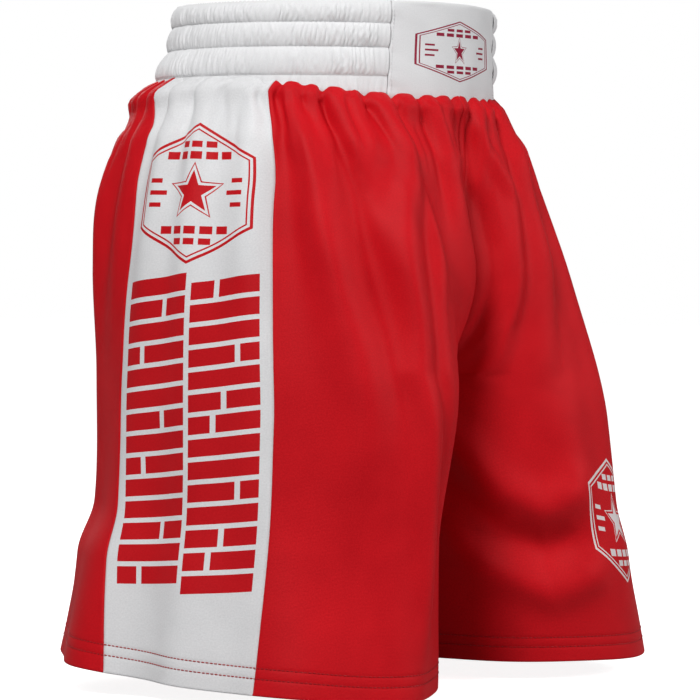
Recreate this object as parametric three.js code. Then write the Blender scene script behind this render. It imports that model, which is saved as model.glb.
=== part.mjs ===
// Boxing shorts: an elasticated waistband with a flat front panel above two wide legs.
// Millimetres, +Z up. The origin is the centre of the waist opening, half-way up the waistband.
// The front faces -Y. The wearer's left leg is at +X and the right leg at -X.
// A place on a leg has a station and a level. The station runs round the leg, from 0 at the
// centre front through 0.5 at the outer side to 1 at the centre back. The level is the drop
// below the waist seam.
import * as THREE from 'three';

// ---- Driving dimensions ----
// Waistband
const WAIST_WIDTH = 284;        // outside the foot of the waistband, side to side
const WAIST_DEPTH = 226;        // the same, front to back
const BAND_TAPER = 9;           // how much narrower the band's top edge is than its foot
const BAND_SET_BACK = 4;        // how far the band's foot lies behind its top edge
const ELASTIC_WIDTH = 12;
const ELASTIC_THICKNESS = 1.2;
const CHANNEL_EASE = 6;         // how much wider a channel is than its elastic
const CHANNEL_BULGE = 1.6;      // how far an elastic channel stands out between stitch rows
const RUFFLE = 2.8;             // gathered edge below the lowest channel, at the back
const FRONT_DIP = 9;            // how much lower the waist seam is in front than behind
const FRONT_PANEL_ANGLE = Math.PI / 6;      // half angle of the flat waist panel
// Legs
const LEG_DROP = 417;           // waist seam to hem
const CROTCH_DEPTH = 205;       // waist seam to crotch
const SEAT_WIDTH = 368;         // over both legs at the crotch, side to side
const SEAT_DEPTH = 372;         // the same, front to back
const HEM_WIDTH = 180;          // one leg opening, side to side
const HEM_DEPTH = 302;          // one leg opening, front to back
const RIGHT_HEM_CLEARANCE = 22; // from the middle plane to the right hem
const LEFT_HEM_CLEARANCE = 40;  // the left leg stands further out and forward
const LEFT_HEM_FORWARD = 30;
const RIGHT_HEM_TILT = 10;      // the right hem's front edge hangs this much below its middle
const CROTCH_Y = -18;           // where the four inner seams meet
const CROTCH_HALF_GAP = 1;      // each leg's clearance from the middle plane at the crotch
const FRONT_VALLEY = 0.38;      // how far the front rise seam is drawn in between the legs
const BACK_VALLEY = 0.2;        // the same at the back
const VALLEY_REACH = 37;        // drop over which the valley forms
// Hems, cloth and seams
const HEM_FOLD = 22;            // depth of the turned-up hem
const STITCH_MARGIN = 3.5;      // upper stitch row below the fold's raw edge
const NEEDLE_SPACING = 7;       // between the two rows of twin-needle stitching
const LEG_CLOTH = 1.0;
const BAND_CLOTH = 0.8;
const GAP = 0.45;               // clearance between neighbouring pieces
const PANEL_GAP = 0.0006;       // clearance at each panel edge, as a share of the way round
const THREAD = 0.7;             // side of a row of stitching
const SEAM_SIZE = 1.8;          // side of a bound inner seam
const WAIST_SEAM_DROP = 7;      // height of the bound seam allowance under the waistband

// ---- Sizes worked out from the driving dimensions ----
const CHANNEL_HEIGHT = ELASTIC_WIDTH + CHANNEL_EASE;
const TOP_CHANNEL = 0.9 * CHANNEL_HEIGHT;   // the fold at the top takes a little of its height
const BAND_HEIGHT = TOP_CHANNEL + 2 * CHANNEL_HEIGHT + RUFFLE + FRONT_DIP;
const BAND_TOP = BAND_HEIGHT / 2;
const BAND_FOOT_FRONT = -BAND_HEIGHT / 2;
const BAND_FOOT_BACK = BAND_FOOT_FRONT + FRONT_DIP;
const UPPER_STITCH = HEM_FOLD - STITCH_MARGIN;
const LOWER_STITCH = UPPER_STITCH - NEEDLE_SPACING;
const PUFF = CROTCH_DEPTH * 0.03;
const YOKE = CROTCH_DEPTH * 0.146;
const HIP = CROTCH_DEPTH * 0.366;
const RISE = CROTCH_DEPTH * 0.537;
const THIGH = CROTCH_DEPTH * 0.634;
const MID = (CROTCH_DEPTH + LEG_DROP) / 2;
const HEM_TOP = LEG_DROP - HEM_FOLD;
const W = WAIST_WIDTH / 2;
const D = WAIST_DEPTH / 2;
const SW = SEAT_WIDTH / 2;
const SD = SEAT_DEPTH / 2;
const HW = HEM_WIDTH / 2;
const HD = HEM_DEPTH / 2;

// Rings round the whole body: level, half width, half depth, centre Y.
const TORSO = [
  [0, W, D, BAND_SET_BACK],
  [PUFF, mix(W, SW, 0.19), mix(D, SD, 0.288), 13],
  [YOKE, mix(W, SW, 0.429), mix(D, SD, 0.466), 9],
  [HIP, mix(W, SW, 0.714), mix(D, SD, 0.726), 8],
  [THIGH, SW - 4, SD - 5, 0],
  [CROTCH_DEPTH, SW, SD, -4],
  [LEG_DROP, SW + 16, SD + 4, 0],
];
// Rings round each leg: level, clearance from the middle plane, centre Y, half width, half depth.
const RIGHT_LEG = [
  [0, 0, 4, W / 2 + 4, D + 7],
  [HIP, 0.5, 6, SW / 2 - 12, SD - 51],
  [THIGH, 0.5, 0, SW / 2 - 8, SD - 44],
  [CROTCH_DEPTH, CROTCH_HALF_GAP, -12, SW / 2 - 4, SD - 40],
  [MID, RIGHT_HEM_CLEARANCE / 2 - 1, -6, HW - 4, HD - 10],
  [LEG_DROP, RIGHT_HEM_CLEARANCE, 0, HW, HD],
];
const LEFT_LEG = [
  [0, 0, 4, W / 2 + 4, D + 7],
  [HIP, 0.5, 6, SW / 2 - 11, SD - 51],
  [THIGH, 0.5, -8, SW / 2 - 6, SD - 45],
  [CROTCH_DEPTH, CROTCH_HALF_GAP, -24, SW / 2, SD - 41],
  [MID, LEFT_HEM_CLEARANCE / 2, -28, HW - 2, HD - 3],
  [LEG_DROP, LEFT_HEM_CLEARANCE, -LEFT_HEM_FORWARD, HW, HD],
];
// Stations of the side panel's front and back edges at each level.
const SIDE_FRONT = [[0, 0.392], [HIP, 0.392], [THIGH, 0.42], [CROTCH_DEPTH, 0.448],
  [MID, 0.435], [LEG_DROP, 0.424]];
const SIDE_BACK = [[0, 0.6], [HIP, 0.6], [CROTCH_DEPTH, 0.605], [MID, 0.592], [LEG_DROP, 0.559]];
const CENTRE_FRONT = [[0, 0], [LEG_DROP, 0]];
const CENTRE_BACK = [[0, 1], [LEG_DROP, 1]];

// ---- Plain helpers ----
function clamp01(x) {
  return Math.min(1, Math.max(0, x));
}

function mix(a, b, t) {
  return a + (b - a) * t;
}

function smooth(from, to, x) {
  const t = clamp01((x - from) / (to - from));
  return t * t * (3 - 2 * t);
}

// Smooth interpolation of one column in a list of rings, by level.
function column(rings, index, level) {
  const last = rings.length - 1;
  let i = 0;
  while (i < last - 1 && level > rings[i + 1][0]) i += 1;
  const slope = (k) => {
    const a = rings[Math.max(0, k - 1)];
    const b = rings[Math.min(last, k + 1)];
    return (b[index] - a[index]) / (b[0] - a[0]);
  };
  const h = rings[i + 1][0] - rings[i][0];
  const t = clamp01((level - rings[i][0]) / h);
  const t2 = t * t;
  const t3 = t2 * t;
  return (2 * t3 - 3 * t2 + 1) * rings[i][index] + (t3 - 2 * t2 + t) * h * slope(i)
    + (3 * t2 - 2 * t3) * rings[i + 1][index] + (t3 - t2) * h * slope(i + 1);
}

// ---- The surface of the legs ----
const LEGS = {
  right: { side: -1, rings: RIGHT_LEG, tilt: RIGHT_HEM_TILT },
  left: { side: 1, rings: LEFT_LEG, tilt: 0 },
};

// Height of the waist seam at a station.
function seamHeight(station) {
  const forward = Math.max(0, Math.cos(Math.PI * station));
  return mix(BAND_FOOT_BACK, BAND_FOOT_FRONT, forward ** 1.5);
}

function surface(leg, station, level) {
  const turn = Math.PI * station;
  const torsoX = column(TORSO, 1, level) * Math.sin(turn);
  const torsoY = column(TORSO, 3, level) - column(TORSO, 2, level) * Math.cos(turn);
  const inner = 1 - smooth(0, 0.3, Math.min(station, 1 - station));
  const pull = inner * (1 - smooth(CROTCH_DEPTH, MID, level));
  const centreY = mix(column(leg.rings, 2, level), CROTCH_Y, pull);
  const depth = column(leg.rings, 4, level);
  const legX = column(leg.rings, 1, level) + column(leg.rings, 3, level) * (1 - Math.cos(2 * turn));
  const legY = centreY - depth * Math.sin(2 * turn);
  // The body parts into two legs: along a round rise at the middle, and gently at the sides.
  const valley = station < 0.5 ? FRONT_VALLEY : BACK_VALLEY;
  const start = valley * (1 - Math.exp(-level / VALLEY_REACH));
  const rise = clamp01((level - RISE) / (CROTCH_DEPTH - RISE));
  const sharp = mix(start, 1, 1 - Math.sqrt(1 - rise * rise));
  const gentleStart = 0.25 * smooth(0, HIP, level);
  const gentle = mix(gentleStart, 1, smooth(HIP, CROTCH_DEPTH * 1.17, level));
  const centred = 1 - smooth(0, 0.22, Math.min(station, 1 - station));
  const split = mix(gentle, sharp, centred);
  const y = mix(torsoY, legY, split);
  const forward = (centreY - y) / depth;
  const droop = leg.tilt * (0.05 + forward) * smooth(CROTCH_DEPTH, LEG_DROP, level);
  const foot = mix(seamHeight(station), BAND_FOOT_FRONT, level / LEG_DROP);
  return new THREE.Vector3(leg.side * mix(torsoX, legX, split), y, foot - level - droop);
}

// Outward normal of the surface.
function normal(leg, station, level) {
  const s = Math.min(0.997, Math.max(0.003, station));
  const v = Math.max(0.5, level);
  const along = surface(leg, s + 0.002, v).sub(surface(leg, s - 0.002, v));
  const down = surface(leg, s, v + 0.4).sub(surface(leg, s, v - 0.4));
  return along.cross(down).multiplyScalar(-leg.side).normalize();
}

function offsetPoint(leg, station, level, offset) {
  return surface(leg, station, level).addScaledVector(normal(leg, station, level), offset);
}

// Rows of points run from the waist seam to the top of the hem fold. At the middle they follow
// the curve of the rise, so that they stay evenly spread, and at the sides they are level.
const RISE_ARC = (Math.PI / 4) * (CROTCH_DEPTH - RISE + SD - CROTCH_Y);
const RISE_LENGTH = RISE + RISE_ARC;
const MIDDLE_LENGTH = RISE_LENGTH + HEM_TOP - CROTCH_DEPTH;

function rowLevel(station, row) {
  const run = row * MIDDLE_LENGTH;
  const arc = clamp01((run - RISE) / RISE_ARC) * (Math.PI / 2);
  const onRise = run < RISE ? run : RISE + (CROTCH_DEPTH - RISE) * Math.sin(arc);
  const middle = run > RISE_LENGTH ? CROTCH_DEPTH + run - RISE_LENGTH : onRise;
  const inner = 1 - smooth(0, 0.3, Math.min(station, 1 - station));
  return mix(row * HEM_TOP, middle, inner);
}

const CROTCH_ROW = RISE_LENGTH / MIDDLE_LENGTH;
const ROWS = [0, PUFF / HEM_TOP, (2.6 * PUFF) / HEM_TOP];
for (let i = 1; i <= 7; i += 1) ROWS.push(mix(0.055, CROTCH_ROW, i / 7));
for (let i = 1; i <= 4; i += 1) ROWS.push(mix(CROTCH_ROW, 1, i / 4));

// ---- Solids ----
// Skin a run of equal closed sections. A section lists one side of its outline and then the
// other side backwards, so that point k faces point -1 - k, and an open run is capped by the
// rungs between them.
function loft(sections, closed = false) {
  const count = sections[0].length;
  const positions = [];
  const indices = [];
  sections.forEach((section) => section.forEach((p) => positions.push(p.x, p.y, p.z)));
  const spans = closed ? sections.length : sections.length - 1;
  for (let i = 0; i < spans; i += 1) {
    const next = (i + 1) % sections.length;
    for (let j = 0; j < count; j += 1) {
      const k = (j + 1) % count;
      const [a, b] = [i * count + j, i * count + k];
      const [c, d] = [next * count + k, next * count + j];
      // Facing walls are split along the same diagonal, so that they stay apart where they twist.
      if (j < count / 2) indices.push(a, b, c, a, c, d);
      else indices.push(a, b, d, b, c, d);
    }
  }
  if (!closed) {
    const end = (sections.length - 1) * count;
    for (let k = 0; k < count / 2 - 1; k += 1) {
      const [a, b, c, d] = [k, k + 1, count - 2 - k, count - 1 - k];
      indices.push(a, c, b, a, d, c);
      indices.push(end + a, end + b, end + c, end + a, end + c, end + d);
    }
  }
  return facingOut(positions, indices);
}

// Turn every triangle round if the solid came out inside out.
function facingOut(positions, indices) {
  const at = (i) => new THREE.Vector3().fromArray(positions, 3 * i);
  let volume = 0;
  for (let i = 0; i < indices.length; i += 3) {
    const [a, b, c] = [at(indices[i]), at(indices[i + 1]), at(indices[i + 2])];
    volume += a.dot(b.cross(c));
  }
  const faces = volume > 0 ? indices : indices.slice().reverse();
  const geometry = new THREE.BufferGeometry();
  geometry.setAttribute('position', new THREE.Float32BufferAttribute(positions, 3));
  geometry.setIndex(faces);
  geometry.computeVertexNormals();
  return geometry;
}

// One leg panel between two edges, with its hem turned up inside.
const FOLD_OUTER = LEG_CLOTH + GAP;
const FOLD_INNER = 2 * LEG_CLOTH + GAP;
const HEM_OUTER = [
  [LEG_DROP - UPPER_STITCH, 0],
  [LEG_DROP - LOWER_STITCH, 0],
  [LEG_DROP, 0],
  [LEG_DROP, -FOLD_INNER],
  [HEM_TOP, -FOLD_INNER],
];
const HEM_INNER = [
  [LEG_DROP - UPPER_STITCH, -LEG_CLOTH],
  [LEG_DROP - LOWER_STITCH, -LEG_CLOTH],
  [LEG_DROP - LEG_CLOTH, -LEG_CLOTH],
  [LEG_DROP - LEG_CLOTH, -FOLD_OUTER],
  [HEM_TOP, -FOLD_OUTER],
];

function panelSection(station) {
  const levels = ROWS.map((row) => rowLevel(station, row));
  const outer = [...levels.map((level) => [level, 0]), ...HEM_OUTER];
  const inner = [...levels.map((level) => [level, -LEG_CLOTH]), ...HEM_INNER];
  return [...outer, ...inner.reverse()];
}

function legPanel(leg, edgeA, edgeB, columns) {
  const stationAt = (share, level) => {
    const from = column(edgeA, 1, level) + PANEL_GAP;
    const to = column(edgeB, 1, level) - PANEL_GAP;
    return mix(from, to, share);
  };
  const sections = [];
  for (let i = 0; i <= columns; i += 1) {
    const share = i / columns;
    sections.push(panelSection(stationAt(share, MID)).map(([level, offset]) => (
      offsetPoint(leg, stationAt(share, level), level, offset))));
  }
  return loft(sections);
}

// ---- The waistband ----
// Point on the band by angle from the centre front, height, and distance outside its face.
function bandPoint(angle, z, offset) {
  const t = clamp01((BAND_TOP - z) / (BAND_TOP - BAND_FOOT_FRONT));
  const a = W - (BAND_TAPER / 2) * (1 - t);
  const b = D - (BAND_TAPER / 2) * (1 - t);
  const x = a * Math.sin(angle);
  const y = -b * Math.cos(angle);
  const out = new THREE.Vector2(x / (a * a), y / (b * b)).normalize();
  return new THREE.Vector3(x + out.x * offset, y + BAND_SET_BACK * t + out.y * offset, z);
}

function bandFoot(angle) {
  return seamHeight(Math.abs(angle) / Math.PI);
}

const LAYER = BAND_CLOTH + ELASTIC_THICKNESS + 2 * GAP;     // outer face to inner layer
const FOLD_ROUND = 1.5;         // how far below the top edge its fold starts to curve
const LINING_TOP = BAND_TOP - FOLD_ROUND - 0.5;
const INTERLINING_MARGIN = 5;   // of the interlining, inside the front panel's foot
const CHANNEL_EDGES = [0, 1, 2].map((i) => BAND_TOP - TOP_CHANNEL - i * CHANNEL_HEIGHT);

// Folded band: the outer layer goes up, over the top edge and down inside. The bulges are the
// channels that the elastics fill.
function bandSection(angle, bulge) {
  const foot = bandFoot(angle) + GAP;
  const stops = [foot, ...CHANNEL_EDGES.slice().reverse(), BAND_TOP - FOLD_ROUND];
  const face = [[foot, 0]];
  for (let i = 1; i < stops.length; i += 1) {
    const swell = i === 1 ? 0 : bulge;
    face.push([mix(stops[i - 1], stops[i], 0.3), swell]);
    face.push([mix(stops[i - 1], stops[i], 0.7), swell]);
    face.push([stops[i], 0]);
  }
  const inner = LAYER + BAND_CLOTH;
  const under = face.map(([z, offset]) => [Math.min(z, LINING_TOP), offset - BAND_CLOTH]);
  const outline = [...face, [BAND_TOP, -inner / 2], [BAND_TOP - FOLD_ROUND, -inner], [foot, -inner]];
  const crest = [BAND_TOP - 1.5 * BAND_CLOTH, -inner / 2];
  const lining = [...under, crest, [LINING_TOP, -LAYER], [foot, -LAYER]];
  return [...outline, ...lining.reverse()];
}

function bandPiece(from, to, columns, bulge) {
  const sections = [];
  for (let i = 0; i <= columns; i += 1) {
    const angle = mix(from, to, i / columns);
    const folded = Math.abs(((angle + Math.PI) % (2 * Math.PI)) - Math.PI);
    sections.push(bandSection(folded, bulge).map(([z, offset]) => bandPoint(angle, z, offset)));
  }
  return loft(sections);
}

// A flat strip that follows the band.
function bandStrip(from, to, columns, low, high, outerOffset, thickness) {
  const outline = [[low, outerOffset], [high, outerOffset],
    [high, outerOffset - thickness], [low, outerOffset - thickness]];
  const sections = [];
  for (let i = 0; i <= columns; i += 1) {
    const angle = mix(from, to, i / columns);
    sections.push(outline.map(([z, offset]) => bandPoint(angle, z, offset)));
  }
  return loft(sections);
}

// ---- Seams and stitching ----
const SQUARE = [[-0.5, 0], [0.5, 0], [0.5, 1], [-0.5, 1]];

// A bar along a run of { point, normal, across }, standing size proud of the offset given.
function bar(stops, offset, size) {
  const sections = stops.map((stop) => SQUARE.map(([across, out]) => stop.point.clone()
    .addScaledVector(stop.across, across * size)
    .addScaledVector(stop.normal, offset + out * size)));
  return loft(sections);
}

// Stops down a leg at one edge of its panels.
function edgeStops(leg, edge, fromRow, toRow) {
  return ROWS.slice(fromRow, toRow).map((row) => {
    const level = rowLevel(column(edge, 1, MID), row);
    const station = column(edge, 1, level);
    const out = normal(leg, station, level);
    const down = surface(leg, station, level + 1).sub(surface(leg, station, level - 1));
    return {
      point: surface(leg, station, level),
      normal: out,
      across: down.cross(out).normalize(),
    };
  });
}

// Bound seam allowance that lies inside the cloth along a panel edge.
function innerSeam(leg, edge, fromRow, toRow) {
  return bar(edgeStops(leg, edge, fromRow, toRow), -(LEG_CLOTH + 2 * GAP + SEAM_SIZE), SEAM_SIZE);
}

// Rise seam, on the middle plane above the crotch.
const RISE_ROWS = ROWS.filter((row) => row < CROTCH_ROW - 0.001).length;

function riseSeam(edge) {
  const stops = edgeStops(LEGS.left, edge, 2, RISE_ROWS).map((stop) => ({
    point: stop.point.setX(0),
    normal: stop.normal.setX(0).normalize(),
    across: new THREE.Vector3(1, 0, 0),
  }));
  return bar(stops, -(LEG_CLOTH + 2 * GAP + SEAM_SIZE), SEAM_SIZE);
}

// Stations of the panels' columns at a level, from the centre front to the centre back.
const PANEL_COLUMNS = [8, 4, 8];

function columnStations(level) {
  const edges = [CENTRE_FRONT, SIDE_FRONT, SIDE_BACK, CENTRE_BACK].map((e) => column(e, 1, level));
  const stations = PANEL_COLUMNS.flatMap((columns, k) => (
    Array.from({ length: columns }, (_, i) => mix(edges[k], edges[k + 1], i / columns))));
  return [...stations, 1];
}

// A closed row of stitching round one hem.
function hemStitch(leg, inset) {
  const level = LEG_DROP - inset;
  const outline = [[0, 0], [THREAD, 0], [THREAD, THREAD], [0, THREAD]];
  const sections = columnStations(level).slice(0, -1).map((station) => outline.map(
    ([down, out]) => offsetPoint(leg, station, level + down, GAP + out)));
  return loft(sections, true);
}

// Bound seam allowance under the waistband. Its corners stand behind the panels' columns.
function waistSeam() {
  const half = columnStations(0);
  const outer = -(LEG_CLOTH + GAP);
  const inner = outer - SEAM_SIZE;
  const angles = [...half, ...half.slice(1, -1).reverse().map((station) => -station)];
  const sections = angles.map((station) => {
    const angle = Math.PI * station;
    const top = seamHeight(Math.abs(station)) - GAP;
    const foot = top - WAIST_SEAM_DROP;
    return [[top, outer], [top, inner], [foot, inner], [foot, outer]].map(
      ([z, offset]) => bandPoint(angle, z, offset));
  });
  return loft(sections, true);
}

// ---- Materials ----
const red = { color: 0xb6151e, roughness: 0.55, metalness: 0 };
const white = { color: 0xe8e8ea, roughness: 0.6, metalness: 0 };
const redThread = { color: 0x8e1018, roughness: 0.6, metalness: 0 };
const whiteThread = { color: 0xf4f4f4, roughness: 0.6, metalness: 0 };
const elasticWeave = { color: 0xd9d6cc, roughness: 0.8, metalness: 0 };
const interlining = { color: 0xdedede, roughness: 0.9, metalness: 0 };

// ---- Assembly ----
const shorts = new THREE.Group();

function add(name, geometry, look) {
  const mesh = new THREE.Mesh(geometry, new THREE.MeshStandardMaterial(look));
  mesh.name = name;
  shorts.add(mesh);
}

// Legs
Object.entries(LEGS).forEach(([name, leg]) => {
  const [frontColumns, sideColumns, backColumns] = PANEL_COLUMNS;
  add(`${name}_front_panel`, legPanel(leg, CENTRE_FRONT, SIDE_FRONT, frontColumns), red);
  add(`${name}_side_panel`, legPanel(leg, SIDE_FRONT, SIDE_BACK, sideColumns), white);
  add(`${name}_back_panel`, legPanel(leg, SIDE_BACK, CENTRE_BACK, backColumns), red);
  const last = ROWS.length - 1;
  add(`${name}_side_seam_front`, innerSeam(leg, SIDE_FRONT, 3, last), redThread);
  add(`${name}_side_seam_back`, innerSeam(leg, SIDE_BACK, 3, last), redThread);
  add(`${name}_inseam`, innerSeam(leg, CENTRE_FRONT, RISE_ROWS + 1, last), redThread);
  add(`${name}_hem_stitch_upper`, hemStitch(leg, UPPER_STITCH), redThread);
  add(`${name}_hem_stitch_lower`, hemStitch(leg, LOWER_STITCH), redThread);
});
add('front_rise_seam', riseSeam(CENTRE_FRONT), redThread);
add('back_rise_seam', riseSeam(CENTRE_BACK), redThread);

// Waistband
const END = GAP / W;            // angle that clears the joint with the front panel
const CASING_COLUMNS = 40;
const casingFrom = FRONT_PANEL_ANGLE + END;
const casingTo = 2 * Math.PI - casingFrom;
const panelTo = FRONT_PANEL_ANGLE - END;
add('waistband_casing', bandPiece(casingFrom, casingTo, CASING_COLUMNS, CHANNEL_BULGE), white);
add('front_waist_panel', bandPiece(-panelTo, panelTo, 8, CHANNEL_BULGE / 2), white);
['upper', 'middle', 'lower'].forEach((name, i) => {
  const low = CHANNEL_EDGES[i] + THREAD + GAP;
  const offset = -(BAND_CLOTH + GAP);
  add(`elastic_${name}`, bandStrip(casingFrom, casingTo, CASING_COLUMNS, low,
    low + ELASTIC_WIDTH, offset, ELASTIC_THICKNESS), elasticWeave);
  add(`band_stitch_${name}`, bandStrip(casingFrom, casingTo, CASING_COLUMNS,
    CHANNEL_EDGES[i] - THREAD / 2, CHANNEL_EDGES[i] + THREAD / 2, GAP + THREAD, THREAD),
  whiteThread);
});
add('front_panel_interlining', bandStrip(-panelTo, panelTo, 8, BAND_FOOT_FRONT + INTERLINING_MARGIN,
  LINING_TOP - 2 * GAP, -(BAND_CLOTH + GAP), ELASTIC_THICKNESS), interlining);
add('waist_seam', waistSeam(), whiteThread);
[['right', -1], ['left', 1]].forEach(([name, side]) => {
  const stops = [0.12, 0.36, 0.6, 0.84].map((t) => {
    const angle = side * FRONT_PANEL_ANGLE;
    const z = mix(BAND_TOP, bandFoot(angle), t);
    const out = bandPoint(angle, z, 1).sub(bandPoint(angle, z, 0));
    const across = new THREE.Vector3(-out.y, out.x, 0);
    return { point: bandPoint(angle, z, CHANNEL_BULGE), normal: out, across };
  });
  add(`band_end_seam_${name}`, bar(stops, GAP, THREAD), whiteThread);
});

export default shorts;
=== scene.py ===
"""Boxing shorts: gathered red and white legs under a white shirred waistband.

Lengths in this file are millimetres until a mesh is written, and the mesh is in metres.
A place on a leg has a column u and a row v. Columns run from the centre front round the outer
side to the centre back, and rows run from the waist seam down to the hem.
"""

import math

import bpy
import numpy as np
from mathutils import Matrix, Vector
from mathutils.geometry import delaunay_2d_cdt


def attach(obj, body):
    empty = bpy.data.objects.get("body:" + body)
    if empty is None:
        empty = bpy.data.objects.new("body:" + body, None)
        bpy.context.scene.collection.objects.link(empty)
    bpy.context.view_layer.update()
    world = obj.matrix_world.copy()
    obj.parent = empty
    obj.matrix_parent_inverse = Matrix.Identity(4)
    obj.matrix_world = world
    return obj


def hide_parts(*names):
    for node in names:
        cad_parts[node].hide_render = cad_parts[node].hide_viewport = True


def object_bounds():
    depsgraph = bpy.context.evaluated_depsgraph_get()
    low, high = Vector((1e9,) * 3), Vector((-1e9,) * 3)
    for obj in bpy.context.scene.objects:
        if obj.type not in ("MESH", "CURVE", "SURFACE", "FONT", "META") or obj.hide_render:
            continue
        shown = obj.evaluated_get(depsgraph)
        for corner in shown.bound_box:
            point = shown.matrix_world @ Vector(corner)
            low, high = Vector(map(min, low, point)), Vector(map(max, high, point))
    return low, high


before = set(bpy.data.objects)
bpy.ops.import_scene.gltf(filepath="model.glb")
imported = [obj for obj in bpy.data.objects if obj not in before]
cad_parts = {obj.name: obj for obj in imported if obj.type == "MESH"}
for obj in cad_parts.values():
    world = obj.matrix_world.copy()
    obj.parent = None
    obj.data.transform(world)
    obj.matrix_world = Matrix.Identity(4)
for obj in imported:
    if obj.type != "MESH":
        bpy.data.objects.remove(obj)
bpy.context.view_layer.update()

MM = 0.001

# ---- Dimensions, as in the CAD except where a note says otherwise ----
WAIST_HALF = (142.0, 113.0)
BAND_TAPER = 9.0
BAND_SET_BACK = 4.0
BAND_TOP = 34.5         # the soft fold stands 2.5 above the CAD band
BAND_FORWARD = 3.0      # how far the band's top leans forward of the middle
FOOT_FRONT = -32.0
FOOT_BACK = -23.0
CHANNEL_EDGES = (18.6, 1.2, -18.6)  # the cloth's stitched lines, each 2 to 3 above the CAD's
PANEL_ANGLE = math.pi / 6
LEG_DROP = 417.0
CROTCH = 205.0
CROTCH_Y = -18.0
HEM_FOLD = 22.0
HEM_TOP = LEG_DROP - HEM_FOLD
STITCH_ROWS = (18.5, 11.5)
CLOTH = 0.7             # thinner than the CAD's stand-ins
RISE = CROTCH * 0.537   # drop at which the rise starts to curve under
MID = (CROTCH + LEG_DROP) / 2
HIP = 75.03
FRONT_VALLEY, BACK_VALLEY = 0.38, 0.2   # how far the body has parted at the middle, near the waist
VALLEY_REACH = 37.0
# Rings by level. TORSO: half width, half depth, middle. Legs: inner x, middle y, half width, half depth.
TORSO = [
    (0, 142, 113, 4),
    (6.15, 149.98, 134.02, 13),
    (29.93, 160.02, 147.02, 9),
    (75.03, 171.99, 166, 8),
    (129.97, 180, 181, 0),
    (205, 184, 186, -4),
    (417, 200, 190, 0),
]
RIGHT_RINGS = [
    (0, 0, 4, 75, 120),
    (75.03, 0.5, 6, 80, 135),
    (129.97, 0.5, 0, 84, 142),
    (205, 1, -12, 88, 146),
    (311, 10, -6, 86, 141),
    (417, 22, 0, 90, 151),
]
LEFT_RINGS = [
    (0, 0, 4, 75, 120),
    (75.03, 0.5, 6, 81, 135),
    (129.97, 0.5, -8, 86, 141),
    (205, 1, -24, 92, 145),
    (311, 20, -28, 88, 148),
    (417, 40, -30, 90, 151),
]
# Stations of the side panels' edges by level, after the photo: up to 10 from the CAD's edges.
SIDE_FRONT = [
    (0, 0.376), (30, 0.384), (75.03, 0.39), (129.97, 0.412), (205, 0.438), (311, 0.432), (417, 0.433),
]  # fmt: skip
SIDE_BACK = [(0, 0.622), (30, 0.608), (75.03, 0.602), (205, 0.608), (311, 0.595), (417, 0.567)]
LEGS = {
    "right": {"side": -1, "rings": RIGHT_RINGS, "tilt": 10.0},
    "left": {"side": 1, "rings": LEFT_RINGS, "tilt": 0.0},
}

# ---- The grid of columns and rows ----
# CELLS is the columns of the front, side and back panels, and U_EDGES the panels' edges.
CELLS = (52, 28, 54)
U_EDGES = (0, 52, 80, 134)
RISE_ARC = math.pi / 4 * (CROTCH - RISE + TORSO[5][2] - CROTCH_Y)
RISE_LENGTH = RISE + RISE_ARC
MIDDLE_LENGTH = RISE_LENGTH + HEM_TOP - CROTCH
V_CROTCH = RISE_LENGTH / MIDDLE_LENGTH * HEM_TOP


# ---- Plain helpers ----
def smooth(low, high, x):
    t = np.clip((x - low) / (high - low), 0, 1)
    return t * t * (3 - 2 * t)


def mix(a, b, t):
    return a + (b - a) * t


def column(rings, index, level):
    """Smooth interpolation of one column in a list of rings, by level."""
    rings = np.asarray(rings, float)
    at, value = rings[:, 0], rings[:, index]
    last = len(at) - 1
    below = np.maximum(np.arange(last + 1) - 1, 0)
    above = np.minimum(np.arange(last + 1) + 1, last)
    slope = (value[above] - value[below]) / (at[above] - at[below])
    i = np.clip(np.searchsorted(at, level) - 1, 0, last - 1)
    h = at[i + 1] - at[i]
    t = np.clip((level - at[i]) / h, 0, 1)
    t2, t3 = t * t, t * t * t
    start = (2 * t3 - 3 * t2 + 1) * value[i] + (t3 - 2 * t2 + t) * h * slope[i]
    return start + (3 * t2 - 2 * t3) * value[i + 1] + (t3 - t2) * h * slope[i + 1]


def unit(v):
    return v / np.maximum(np.linalg.norm(v, axis=-1, keepdims=True), 1e-9)


def wander(x, scale, seed):
    """Smooth seeded noise along one line, from -1 to 1, with features of that scale."""
    table = np.random.default_rng(seed).uniform(-1, 1, 4096)
    at = np.asarray(x, float) / scale + 1000
    i = np.floor(at).astype(int)
    t = at - i
    t = t * t * (3 - 2 * t)
    return mix(table[i % 4096], table[(i + 1) % 4096], t)


# ---- The surface of the legs ----
def seam_height(station):
    forward = np.maximum(0, np.cos(np.pi * station))
    return mix(FOOT_BACK, FOOT_FRONT, forward**1.5)


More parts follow.
